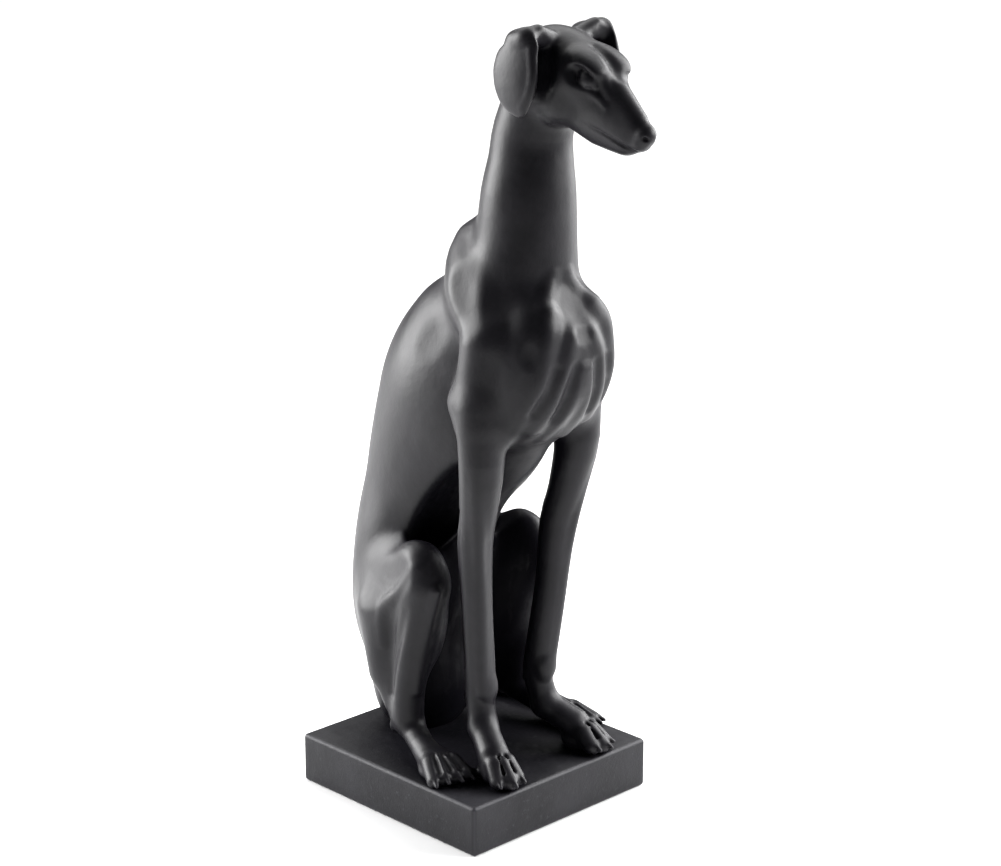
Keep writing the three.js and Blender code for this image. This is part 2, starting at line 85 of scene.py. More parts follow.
camera_data = bpy.data.cameras.new("camera")
camera_data.sensor_fit = "HORIZONTAL"
camera_data.sensor_width = SENSOR
camera_data.lens = FOCAL_PIXELS / IMAGE_WIDTH * SENSOR
camera = bpy.data.objects.new("camera", camera_data)
camera.location = Vector(CAMERA_PLACE) * METRES
camera.rotation_euler = (math.radians(90 - CAMERA_DIP), 0, math.radians(CAMERA_TURN))
bpy.context.scene.collection.objects.link(camera)
bpy.context.scene.camera = camera
print("lens", round(camera_data.lens, 1), "mm")

# %% [markdown]
# ## The clay
# A form is a lump with a distance: below zero inside it, zero on its skin. Two lumps melt together where
# their distances are close, over a blend radius. A ball can be stretched to an egg, a limb is a chain of
# round cones, and either can be pressed in to make a dent or a groove.

# %% Lumps
ONE = (1,)
PAIR = (1, -1)
CURVE_FROM = 4
CURVE_STEPS = 3


def ball(sides, blend, centre, radii, turn=(0, 0, 0), pressed=False):
    """An egg, turned by degrees about X, then Y, then Z."""
    return dict(sides=sides, blend=blend, centre=centre, radii=radii, turn=turn, pressed=pressed)


def limb(sides, blend, points, flatness=1.0, pressed=False):
    """Round cones through points (x, y, z, radius), flattened from side to side."""
    return dict(sides=sides, blend=blend, points=points, flatness=flatness, pressed=pressed)


def curved(points):
    """The same chain, with points added between so that it bends smoothly through the given ones."""
    given = np.array([tuple(p) for p in points], float)
    if len(given) < CURVE_FROM:
        return given
    ends = np.concatenate([2 * given[:1] - given[1:2], given, 2 * given[-1:] - given[-2:-1]])
    chain = []
    for a, b, c, d in zip(ends[:-3], ends[1:-2], ends[2:-1], ends[3:]):
        for t in np.arange(CURVE_STEPS) / CURVE_STEPS:
            across = (c - a) * t + (2 * a - 5 * b + 4 * c - d) * t**2 + (3 * b - a - 3 * c + d) * t**3
            chain.append(b + across / 2)
    return np.array(chain + [given[-1]])


def dent(sides, blend, centre, radii, turn=(0, 0, 0)):
    return ball(sides, blend, centre, radii, turn, pressed=True)


def groove(sides, blend, points, flatness=1.0):
    return limb(sides, blend, points, flatness, pressed=True)


def melt(a, b, blend):
    if blend <= 0:
        return np.minimum(a, b)
    overlap = np.maximum(blend - np.abs(a - b), 0)
    return np.minimum(a, b) - overlap * overlap / (4 * blend)


# %% [markdown]
# The distance to an egg isn't exact, but it is right near the skin, and that is all that melting needs.

# %% Distances
TINY = 1e-9


def turned(turn, side):
    a, b, c = math.radians(turn[0]), math.radians(turn[1] * side), math.radians(turn[2] * side)
    about = Matrix.Rotation(c, 3, "Z") @ Matrix.Rotation(b, 3, "Y") @ Matrix.Rotation(a, 3, "X")
    return np.array(about)


def egg_distance(x, y, z, centre, radii, axes):
    dx, dy, dz = x - centre[0], y - centre[1], z - centre[2]
    reach = 0
    slope = 0
    for i in range(3):
        share = (axes[0, i] * dx + axes[1, i] * dy + axes[2, i] * dz) / radii[i]
        reach = reach + share**2
        slope = slope + (share / radii[i]) ** 2
    reach = np.sqrt(reach)
    return reach * (reach - 1) / (np.sqrt(slope) + TINY)


def cone_distance(x, y, z, start, end, flatness):
    """The distance to a cone with a ball at each end."""
    ax, ay, az, ra = start
    bx, by, bz, rb = end
    dx, dy, dz = (bx - ax) / flatness, by - ay, bz - az
    length2 = dx * dx + dy * dy + dz * dz
    taper = ra - rb
    side2 = length2 - taper * taper
    px, py, pz = (x - ax) / flatness, y - ay, z - az
    along = px * dx + py * dy + pz * dz
    past = along - length2
    across2 = (px * length2 - dx * along) ** 2 + (py * length2 - dy * along) ** 2
    across2 = across2 + (pz * length2 - dz * along) ** 2
    along2 = along * along * length2
    past2 = past * past * length2
    limit = np.sign(taper) * taper * taper * across2
    wall = (np.sqrt(across2 * side2 / length2) + along * taper) / length2 - ra
    at_start = np.sqrt(across2 + along2) / length2 - ra
    at_end = np.sqrt(across2 + past2) / length2 - rb
    before = np.sign(along) * side2 * along2 < limit
    beyond = np.sign(past) * side2 * past2 > limit
    return np.where(beyond, at_end, np.where(before, at_start, wall)) * flatness


# %% [markdown]
# The clay lies on a grid. A lump is worked out only on the grid points that it can reach. Nearly all of
# the dog is the same on both sides, so only its left half is modelled and then mirrored.

# %% The block of clay
CELL = 0.6
FAR = 25.0
CLEAR = 7.0
REACH_SHARE = 1.5


def grid_of(corner_low, corner_high, cell=CELL):
    return [np.arange(a, b + cell, cell, dtype=np.float32) for a, b in zip(corner_low, corner_high)]


def add_lump(clay, grid, lump):
    for side in lump["sides"]:
        blend = lump["blend"]
        if "points" in lump:
            spots = [(p[0] * side, p[1], p[2], p[3]) for p in curved(lump["points"])]
            cones = list(zip(spots[:-1], spots[1:]))
            lows = [[min(a[i] - a[3], b[i] - b[3]) for i in range(3)] for a, b in cones]
            highs = [[max(a[i] + a[3], b[i] + b[3]) for i in range(3)] for a, b in cones]
        else:
            axes = turned(lump["turn"], side)
            centre = (lump["centre"][0] * side, lump["centre"][1], lump["centre"][2])
            half = np.sqrt(((axes * np.array(lump["radii"])) ** 2).sum(1))
            lows = [[centre[i] - half[i] for i in range(3)]]
            highs = [[centre[i] + half[i] for i in range(3)]]
        margin = blend * REACH_SHARE + CLEAR
        bounds_low = np.min(lows, 0) - margin
        bounds_high = np.max(highs, 0) + margin
        window = window_of(grid, bounds_low, bounds_high)
        if window is None:
            continue
        x, y, z = spots_of(grid, window)
        if "points" in lump:
            distance = np.full(clay[window].shape, FAR, np.float32)
            for (a, b), lo, hi in zip(cones, lows, highs):
                inner = window_of(grid, np.array(lo) - margin, np.array(hi) + margin)
                if inner is None:
                    continue
                part = tuple(slice(s.start - w.start, s.stop - w.start) for s, w in zip(inner, window))
                near = cone_distance(*spots_of(grid, inner), a, b, lump["flatness"])
                distance[part] = np.minimum(distance[part], near)
        else:
            distance = egg_distance(x, y, z, centre, lump["radii"], axes)
        old = clay[window]
        clay[window] = -melt(-old, distance, blend) if lump["pressed"] else melt(old, distance, blend)


def window_of(grid, corner_low, corner_high):
    slices = []
    for axis, lo, hi in zip(grid, corner_low, corner_high):
        start, stop = np.searchsorted(axis, lo), np.searchsorted(axis, hi)
        if start >= stop:
            return None
        slices.append(slice(int(start), int(stop)))
    return tuple(slices)


def spots_of(grid, window):
    x, y, z = (axis[part] for axis, part in zip(grid, window))
    return x[:, None, None], y[None, :, None], z[None, None, :]


# %% [markdown]
# ## The dog
# The big forms are those of the solid: ribs, belly, rump, neck, breast, shoulders and legs.

# %% Trunk
def trunk():
    return [
        ball(ONE, 8, [0, 6, 180.5], [33, 47, 68], [27, 0, 0]),  # ribcage
        ball(ONE, 16, [0, -15, 172.5], [20, 31, 50], [36, 0, 0]),  # keel of the chest
        ball(ONE, 18, [0, 30.5, 120], [28.5, 38.5, 56], [12, 0, 0]),  # loin
        ball(ONE, 16, [0, 41, 74.5], [35, 31, 58], [4, 0, 0]),  # rump
        ball(ONE, 12, [0, 36, 22.5], [29, 23, 30]),  # seat
        # neck
        limb(ONE, 14, [
            [0, -30, 236.5, 30], [0, -36, 258.5, 24.5], [0, -38, 283.5, 22.4],
            [0, -39.5, 299.5, 20], [0, -41, 314.5, 18.6], [0, -49.5, 336.5, 17],
        ]),
        ball(PAIR, 12, [16, -50, 203.5], [19, 20, 36], [14, 0, 0]),  # breast muscles
        ball(ONE, 12, [0, -47.5, 205], [22, 27, 35], [20, 0, 0]),  # breastbone
        ball(PAIR, 6, [16, -59, 226], [9.5, 11, 9.5]),  # points of the breast
        # withers
        limb(ONE, 10, [[0, -18, 260, 13], [0, -9, 246, 13], [0, -2, 227, 14], [0, 10, 218, 14]]),
        dent(PAIR, 8, [39, -3, 221], [9, 10, 17], [24, 0, 0]),  # hollow behind the shoulder
        # shoulder blade
        limb(PAIR, 10, [
            [8, -8, 259, 7], [14, -12, 249.5, 9.5], [22, -26, 236.5, 12], [27, -40, 221.5, 11.5],
        ]),
        # upper arm
        limb(PAIR, 8, [[27, -41, 218.5, 11.5], [30.5, -34, 200, 9.2], [32, -30.5, 189, 8]]),
        # outer fold of the breast
        limb(PAIR, 5, [
            [14.6, -65, 233.5, 4], [18.8, -67.6, 223.7, 4], [21.2, -67.8, 210, 3.8],
            [22.8, -65.8, 201, 3.8], [25.2, -57.4, 186, 3.8], [26, -48, 174.8, 3.4],
        ]),
        # inner fold
        limb(PAIR, 5, [
            [6, -71, 223, 3.6], [10.4, -71.4, 211, 3.8], [14.2, -69, 200, 3.8],
            [15.2, -65.2, 190.4, 3.8], [17.4, -58, 180, 3.4],
        ]),
        # fold next to the middle
        limb(PAIR, 5, [
            [2.6, -72.6, 207, 3], [3.6, -70.6, 195.8, 3.6], [6, -63.6, 183.4, 3.6],
            [6.6, -54.2, 173.4, 3.2],
        ]),
    ]


# %% Legs and paws
TOE_BLEND = 1.6
KNUCKLE_SHARE = 0.6
KNUCKLE_LIFT = 2.5
KNUCKLE_SWELL = 1.06
TIP_TAPER = 0.95


def hind_leg():
    return [
        ball(PAIR, 4, [28, 21, 70], [14, 28, 38], [12, 0, 0]),  # thigh
        limb(PAIR, 8, [[32, 18, 82, 13], [34.5, 1, 98.5, 14.5]], 0.7),  # thigh to knee
        # crest of the thigh
        limb(PAIR, 5, [
            [38, -2, 101, 6.5], [38, 5, 93, 6.5], [38, 13.6, 80, 6.5], [37, 20.5, 66, 6.5],
            [36, 26, 50, 6.5], [35.5, 28, 38, 6],
        ]),
        # shin
        limb(PAIR, 8, [
            [36, -4.5, 90, 11], [37.5, 2, 58.5, 9], [37.5, 7, 34.5, 8], [37.5, 7.5, 18.5, 7.6],
        ]),
        # back of the thigh
        limb(PAIR, 8, [
            [31, 30, 70.5, 14], [32, 27, 59.5, 13], [33, 24, 44.5, 11], [33, 20, 26.5, 8.5],
            [34, 17, 18.5, 6],
        ]),
        limb(PAIR, 3, [[37, 8, 16.5, 6], [37, 17, 11.5, 3.5]]),  # heel
    ]


def toe(root, tip, radius):
    """A toe from its root to its tip, arched at the knuckle."""
    knuckle = [a + (b - a) * KNUCKLE_SHARE for a, b in zip(root, tip)]
    knuckle[2] += KNUCKLE_LIFT
    swollen = (*knuckle, radius * KNUCKLE_SWELL)
    return limb(PAIR, TOE_BLEND, [(*root, radius), swollen, (*tip, radius * TIP_TAPER)])


def hind_paw():
    return [
        limb(PAIR, 3, [[37, 6, 14.5, 6.5], [41, -6, 9.5, 6.2], [44, -14, 7.5, 6.8]]),  # instep
        ball(PAIR, 2.5, [46.5, -22, 3], [8.5, 11.5, 5], [0, 0, 25]),  # pad
        toe([42, -8, 8.5], [55.5, -30.5, 2.5], 4),
        toe([43, -12, 8.5], [51, -33, 3.5], 4.2),
        toe([43, -14, 8.5], [46, -35.5, 3.5], 4.2),
        toe([42, -14, 8.5], [41, -37, 3.5], 4.2),
    ]


def foreleg():
    return [
        limb(PAIR, 5, [
            [32.5, -38, 186.5, 11], [32.5, -40, 162.5, 11], [30, -35, 134.5, 9],
            [28, -30.6, 116.5, 8.6], [25.4, -28.9, 84.5, 7.7], [21, -26.4, 49.5, 7.6],
            [20, -25.5, 36.5, 7.3], [21.5, -29, 21, 7],
        ]),
        limb(PAIR, 5, [[32.5, -29.5, 189, 7], [33, -31, 179, 6]]),  # elbow
        limb(PAIR, 4, [[22, -30, 20, 7], [28, -43, 12.5, 7.6]]),  # pastern
        ball(PAIR, 2.5, [29, -46, 4], [7, 11, 6]),  # pad
        toe([27, -37, 12.5], [34, -48, 4], 4.4),
        toe([28, -40, 12.5], [36.5, -55, 4], 4.4),
        toe([28, -41, 12.5], [32, -59, 4], 4.4),
        toe([26.5, -41, 12.5], [26.5, -57.5, 4], 4.4),
    ]

# %% [markdown]
# The head nods a little. Its places are given in its own axes: to the side, forward along the muzzle, up.

# %% Head, ears and tail
HEAD_Y = -64.7
HEAD_Z = 348.0
NOD = math.radians(26)


def h(side, forward, up, *radius):
    y = HEAD_Y - forward * math.cos(NOD) - up * math.sin(NOD)
    z = HEAD_Z - forward * math.sin(NOD) + up * math.cos(NOD)
    return (side, y, z, *radius)


def head():
    return [
        ball(ONE, 4, h(0, 0, -1.5), [17.5, 25, 15.5], [26, 0, 0]),  # skull
        ball(ONE, 6, h(0, 12.5, 2), [14.5, 14, 11.5], [26, 0, 0]),  # forehead
        # muzzle
        limb(ONE, 5, [
            h(0, 12, -6, 16), h(0, 26, -6.6, 14.8), h(0, 39, -7.6, 11.6), h(0, 46, -7.3, 9.2),
            h(0, 49.5, -6, 6.6),
        ], 0.66),
        limb(ONE, 5, [h(0, 12, -15, 10), h(0, 28, -16, 7.5), h(0, 44, -13, 5)], 0.8),  # lower jaw
        limb(ONE, 4, [h(0, 16, 8, 6), h(0, 30, 3.6, 5), h(0, 46, -1.6, 4.2)]),  # bridge of the nose
        ball(ONE, 2, h(0, 53.5, -4.2), [4.8, 5, 5.2], [26, 0, 0]),  # nose
        ball(ONE, 2, h(0, 53, -8.6), [4.6, 3.8, 3.6], [26, 0, 0]),  # upper lip
        ball(PAIR, 6, h(8, 4, -14), [8, 13, 11], [26, 0, 0]),  # cheek
        ball(PAIR, 5, h(8.4, 16, 10.2), [5.8, 9.6, 3.7], [26, 0, 0]),  # brow
        dent(PAIR, 1.6, h(16.6, 20.5, 5.8), [6.2, 9.8, 5.8], [28, 0, 0]),  # eye socket
        ball(PAIR, 1, h(10.4, 20, 5.2), [3.1, 4.8, 3.6], [24, 0, 0]),  # eye
        # hollow inside the ear
        groove(PAIR, 2.5, [[21, -64, 335, 4.4], [20.4, -66, 346, 6.2], [19.6, -66, 355, 5.6]]),
    ]


def ears():
    return [
        # hanging flap
        limb(PAIR, 2, [
            [25, -61.5, 356.4, 7.4], [26.6, -56.4, 347, 12.7], [27.2, -56, 339, 11.4],
            [26.8, -58.5, 331.6, 6],
        ], 0.3),
        # fold, front
        limb(PAIR, 3, [[11, -61, 359.5, 4.6], [18.5, -62, 363.2, 3.4], [24.6, -61, 361, 3.8]]),
        ball(PAIR, 4, [19.5, -56.5, 360], [8, 8, 4.6]),  # fold
        ball(PAIR, 4, [19, -48.5, 346], [8, 4.5, 11]),  # root behind
    ]


def tail():
    return [
        limb(ONE, 5, [
            [0, 57, 22, 8], [6, 60, 9, 6.5], [22, 57, 5.5, 5.6], [38, 47, 4.6, 5],
            [49, 30, 4.2, 4.6], [52.5, 12, 3.8, 4.2], [51, 2, 3.2, 3.2],
        ]),
    ]


# %% [markdown]
# ## Finer than the solid
# Most of these forms stand or sink a millimetre or two: eyelids, nostrils, the line of the mouth, the rims
# of the ears, claws, tendons along the legs, and the hollows between the folds of the breast. The hollow of
# the flank is the deepest, up to about 5 mm.

# %% Face and ears, finer
def face_details():
    return [
        # upper eyelid
        limb(PAIR, 1.4, [
            h(10.4, 15.6, 5.4, 0.8), h(11.4, 18.4, 7.6, 0.9), h(11, 22.4, 6.8, 0.9), h(9.6, 25.4, 4.2, 0.7),
        ]),
        # lower eyelid
        limb(PAIR, 1.8, [
            h(12.6, 12, 3.6, 1.2), h(12.2, 16, 1.2, 1.4), h(11, 20, 0.2, 1.5), h(9.6, 24, 0.4, 1.4),
            h(8.2, 28, 0.2, 1.3), h(7.2, 33, -1.4, 1),
        ]),
        limb(PAIR, 3, [h(5, 22, 9, 1.2), h(5.8, 26, 6.6, 1.3), h(5.6, 31, 3.6, 1.1)]),  # inner brow
        # furrow of the forehead
        groove(ONE, 5, [h(0, 10, 15.6, 0.7), h(0, 20, 14.2, 0.8), h(0, 28, 11, 0.6)]),
        dent(PAIR, 0.6, h(3.4, 57, -3.8), (1.4, 1.8, 1.1), (26, 0, 0)),  # nostril
        # cleft of the lip
        groove(ONE, 0.8, [h(0, 59.2, -3, 0.35), h(0, 58.5, -7, 0.4), h(0, 56.8, -11, 0.4)]),
        # line of the mouth
        groove(PAIR, 1.4, [
            h(1.6, 55.6, -12.2, 0.4), h(4.4, 50.5, -12.2, 0.5), h(6.6, 43, -12.2, 0.5),
            h(8.2, 34, -12.8, 0.5), h(9.6, 26, -14.4, 0.4),
        ]),
        # corner of the jaw
        limb(PAIR, 2, [h(11.8, 2, -18.4, 1.9), h(12, 5, -21.2, 2.1), h(10.2, 8.4, -23.6, 1.7)]),
    ]


def ear_details():
    return [
        # front rim
        limb(PAIR, 1.8, [
            [25.8, -65.4, 357, 1.5], [27, -67.6, 346, 1.6], [27.2, -66, 337.5, 1.6], [27, -61, 330.5, 1.5],
        ]),
        # inside, behind the rim
        groove(PAIR, 1.5, [
            [18.4, -68.6, 362.6, 2.8], [19.6, -68.6, 356.6, 4], [20.4, -68.6, 348, 4.6],
            [20.6, -66.6, 338, 4],
        ]),
    ]


# %% Body and legs, finer
def body_details():
    return [
        dent(PAIR, 4, (2.6, -78, 226), (1.8, 3, 4.4)),  # hollows over the breastbone
        dent(PAIR, 4, (29.8, -68.6, 217), (2.4, 3, 5)),
        dent(ONE, 6, (0, -71, 241), (5, 4, 9), (-12, 0, 0)),  # pit of the neck
        # cord of the neck
        limb(PAIR, 5, [[4.4, -56.8, 249.5, 2], [9.4, -59.2, 241, 2.6], [14.4, -62.6, 235, 2.6]]),
        # between the folds of the breast
        groove(PAIR, 4, [[17.4, -75, 209, 1.3], [19.8, -72.8, 199, 1.4], [23.6, -65.6, 187.4, 1.2]]),
        groove(PAIR, 4, [[7, -77.6, 209, 1.1], [9.4, -74.6, 196, 1.3], [11.4, -67.6, 183, 1.1]]),
        # flat of the thigh, and its edge
        dent(PAIR, 1.5, (61.2, 18.8, 96.5), (20, 60, 44), (0, -13.1, 14.4)),
        limb(PAIR, 2, [
            [41.2, -5, 101.6, 4], [42, 6.4, 86.6, 4], [41.3, 19, 74.8, 4], [41.6, 20, 57, 3.4],
        ]),
        dent(PAIR, 5, (20, -3.5, 127.5), (13, 10, 34), (39, 0, 0)),  # hollow of the flank
        dent(PAIR, 1.5, (39.8, -30.3, 242), (8, 38, 24), (54, -24.1, -1.1)),  # flat of the shoulder
        dent(PAIR, 6, (40, -6, 222), (8, 9, 16), (24, 0, 0)),  # hollow behind the shoulder
        # upper arm, filled out down to the elbow
        limb(PAIR, 6, [
            [31.6, -40.2, 216, 8.4], [31.8, -40.2, 205, 9.8], [32, -40.4, 194, 10.2],
            [32.2, -40.4, 182, 10.2],
        ]),
        # crease behind the shin
        groove(PAIR, 4, [
            [49.6, -2, 80, 1], [47.6, 4.5, 64, 1.5], [46.2, 11.2, 46, 1.5], [44.8, 13.4, 32, 1],
        ]),
        # edge of the shin
        limb(PAIR, 3, [
            [39.6, -15.4, 92, 2.6], [39.8, -8.4, 70, 2], [39.6, -3.4, 52, 2], [39, -0.6, 36, 1.8],
        ]),
        # edge of the foreleg
        limb(PAIR, 2.5, [
            [38.4, -42.4, 172, 1.2], [38.4, -43.4, 156, 2.8], [34.7, -40, 134, 3],
            [29.8, -35.2, 101, 2.8], [26.4, -32.8, 69, 2.8], [23.2, -30.6, 40, 2.6],
        ]),
        # behind the bone of the foreleg
        groove(PAIR, 3, [
            [37.4, -29.6, 134, 1], [34.8, -25.6, 110, 1.2], [32.4, -23.4, 84, 1.2], [27.6, -21.2, 52, 1],
        ]),
        ball(PAIR, 3, (20, -31.6, 41), (5.2, 3.4, 7)),  # wrist
        ball(PAIR, 2, (20.4, -18.4, 33), (3.2, 2.6, 4.4)),  # pad behind the wrist
    ]


# %% [markdown]
# A claw grows out of each toe's tip and bends down to the plinth, and a gap is pressed in between two
# toes. The toes' roots and tips are in the paws above, so both take them from there.

# %% Claws and gaps between the toes
CLAW_START = 2.6
CLAW_LENGTH = 3.4
CLAW_RADIUS = 1.7
CLAW_TAPER = 0.55
CLAW_DROP = 1.3
CLAW_BLEND = 0.5
CLAW_RAISE = 1
GAP_BLEND = 2
GAP_RAISE = 4.2
GAP_TAPER = 0.7
HIND_GAP = 1.2
FORE_GAP = 0.6
TOE_POINTS = 3


def toes_of(paw):
    """Each toe's root, knuckle and tip."""
    chains = [lump["points"] for lump in paw if "points" in lump and lump["blend"] == TOE_BLEND]
    return [np.array([point[:3] for point in chain]) for chain in chains if len(chain) == TOE_POINTS]


def claws():
    grown = []
    for root, _, tip in toes_of(hind_paw() + foreleg()):
        ahead = (tip - root) * (1, 1, 0)
        ahead /= np.linalg.norm(ahead)
        start = tip + ahead * CLAW_START + (0, 0, CLAW_RAISE)
        end = start + ahead * CLAW_LENGTH - (0, 0, CLAW_DROP)
        end[2] = max(end[2], CLAW_DROP)
        grown.append(limb(PAIR, CLAW_BLEND, [(*start, CLAW_RADIUS), (*end, CLAW_RADIUS * CLAW_TAPER)]))
    return grown


def toe_gaps():
    cut = []
    for paw, radius in ((hind_paw(), HIND_GAP), (foreleg(), FORE_GAP)):
        toes = toes_of(paw)
        for one, two in zip(toes[:-1], toes[1:]):
            _, knuckle, tip = (one + two) / 2 + (0, 0, GAP_RAISE)
            cut.append(groove(PAIR, GAP_BLEND, [(*knuckle, radius * GAP_TAPER), (*tip, radius)]))
    return cut


# %% [markdown]
# Each part is built up by itself and then melted into the rest, with a blend of its own.

# %% Build the clay
LEFT_HALF = ((0, trunk), (7, hind_leg), (3, hind_paw), (7, foreleg), (6, head), (2.5, ears))
DETAILS = (face_details, ear_details, body_details, toe_gaps, claws)
TAIL_BLEND = 4
EDGE_ROOM = 3.0


def build_clay():
    started = time.time()
    reach_low = (0.0, low[1] - EDGE_ROOM, -EDGE_ROOM)
    reach_high = (high[0] + EDGE_ROOM, high[1] + EDGE_ROOM, high[2] - GROUND + EDGE_ROOM)
    grid = grid_of(reach_low, reach_high)
    shape = tuple(len(axis) for axis in grid)
    clay = np.full(shape, FAR, np.float32)
    for joint, part in LEFT_HALF:
        layer = np.full(shape, FAR, np.float32)
        for lump in part():
            add_lump(layer, grid, lump)
        clay = melt(clay, layer, joint).astype(np.float32)
        print("  ", part.__name__, round(time.time() - started, 1), "s")
    for part in DETAILS:
        for lump in part():
            add_lump(clay, grid, lump)
    # mirror it, and lay the tail round the left haunch
    grid[0] = np.concatenate([-grid[0][:0:-1], grid[0]])
    clay = np.concatenate([clay[:0:-1], clay])
    layer = np.full(clay.shape, FAR, np.float32)
    for lump in tail():
        add_lump(layer, grid, lump)
    clay = melt(clay, layer, TAIL_BLEND).astype(np.float32)
    print("clay", clay.shape, round(time.time() - started, 1), "s")
    return clay, grid


clay, grid = build_clay()


# %% [markdown]
# ## From clay to mesh
# Each grid cube that the skin passes through gets one point, at the middle of the places where the skin
# crosses its edges. Each grid line that the skin crosses gets one face, between the four cubes round it.

# %% The skin as a mesh
def skin_mesh(clay, grid):
    cell = float(grid[0][1] - grid[0][0])
    origin = np.array([axis[0] for axis in grid])
    inside = clay < 0
    count = np.zeros(tuple(n - 1 for n in clay.shape), np.int8)
    corners = [(i, j, k) for i in (0, 1) for j in (0, 1) for k in (0, 1)]
    for i, j, k in corners:
        count += inside[i:i + count.shape[0], j:j + count.shape[1], k:k + count.shape[2]]
    cubes = np.argwhere((count > 0) & (count < 8))
    number = np.full(count.shape, -1, np.int32)
    number[tuple(cubes.T)] = np.arange(len(cubes))
    total = np.zeros((len(cubes), 3))
    hits = np.zeros(len(cubes))
    for axis in range(3):
        for start in corners:
            if start[axis]:
                continue
            end = list(start)
            end[axis] = 1
            a = clay[tuple((cubes + start).T)]
            b = clay[tuple((cubes + end).T)]
            crossed = (a < 0) != (b < 0)
            share = np.where(crossed, a / np.where(crossed, a - b, 1), 0)
            place = np.tile(np.array(start, float), (len(cubes), 1))
            place[:, axis] += share
            total += place * crossed[:, None]
            hits += crossed
    points = origin + cell * (cubes + total / hits[:, None])
    faces = []
    for axis in range(3):
        one, two = (axis + 1) % 3, (axis + 2) % 3
        near = [slice(1, -1)] * 3
        near[axis] = slice(0, -1)
        far = list(near)
        far[axis] = slice(1, None)
        a, b = inside[tuple(near)], inside[tuple(far)]
        for outward in (True, False):
            lines = np.argwhere((a & ~b) if outward else (~a & b))
            offset = np.ones(3, int)
            offset[axis] = 0
            lines = lines + offset
            ring = []
            for step_one, step_two in ((-1, -1), (0, -1), (0, 0), (-1, 0)):
                cube = lines.copy()
                cube[:, one] += step_one
                cube[:, two] += step_two
                ring.append(number[tuple(cube.T)])
            faces.append(np.stack(ring if outward else ring[::-1], 1))
    return points, np.concatenate(faces)


def sample(clay, grid, points):
    """The clay's distance at any point, and which way it grows."""
    cell = float(grid[0][1] - grid[0][0])
    origin = np.array([axis[0] for axis in grid])
    at = (points - origin) / cell
    base = np.clip(np.floor(at).astype(int), 0, np.array(clay.shape) - 2)
    t = at - base
    value = np.zeros(len(points))
    slope = np.zeros((len(points), 3))
    for i in (0, 1):
        for j in (0, 1):
            for k in (0, 1):
                d = clay[base[:, 0] + i, base[:, 1] + j, base[:, 2] + k]
                w = [t[:, n] if c else 1 - t[:, n] for n, c in enumerate((i, j, k))]
                value += d * w[0] * w[1] * w[2]
                slope[:, 0] += d * (1 if i else -1) * w[1] * w[2]
                slope[:, 1] += d * (1 if j else -1) * w[0] * w[2]
                slope[:, 2] += d * (1 if k else -1) * w[0] * w[1]
    return value, slope / cell


def mesh_object(name, points, faces):
    mesh = bpy.data.meshes.new(name)
    mesh.from_pydata((np.asarray(points) * METRES).tolist(), [], np.asarray(faces).tolist())
    mesh.update()
    mesh.shade_smooth()
    piece = bpy.data.objects.new(name, mesh)
    bpy.context.scene.collection.objects.link(piece)
    return piece


SETTLING_ROUNDS = 2
LEAST_SLOPE = 0.5

points, faces = skin_mesh(clay, grid)
for _ in range(SETTLING_ROUNDS):
    value, slope = sample(clay, grid, points)
    points -= slope * (value / np.maximum((slope**2).sum(1), LEAST_SLOPE**2))[:, None]
points[:, 2] += GROUND
dog = mesh_object("whippet", points, faces)
print("skin:", len(points), "points,", len(faces), "faces")

# %% Thin the flat stretches
DOG_TRIANGLES = 190000


def thin(piece, triangles):
    ratio = triangles / (2 * len(piece.data.polygons))
    if ratio >= 1:
        return
    modifier = piece.modifiers.new("thin", "DECIMATE")
    modifier.ratio = ratio
    shown = piece.evaluated_get(bpy.context.evaluated_depsgraph_get())
    mesh = bpy.data.meshes.new_from_object(shown)
    piece.modifiers.clear()
    piece.data = mesh
    mesh.shade_smooth()


thin(dog, DOG_TRIANGLES)
print("whippet:", len(dog.data.polygons), "faces")

# %% [markdown]
# ## The plinth
# It is a block with rounded edges. Its faces are gridded, because its points carry the wear and the shelter
# that are measured below; the shelter sets where shade is painted in.

# %% Plinth
PLINTH_SPACING = 2.5
EDGE_STEPS = 5


def plinth_lines(size):
    """Grid lines across one face, closer together where the edge is rounded."""
    half = size / 2
    flat = half - PLINTH_EDGE_RADIUS
    inner = np.linspace(-flat, flat, max(2, int(2 * flat / PLINTH_SPACING)))
    edge = flat + PLINTH_EDGE_RADIUS * np.tan(np.linspace(0, math.pi / 4, EDGE_STEPS))[1:]
    return np.concatenate([-edge[::-1], inner, edge])


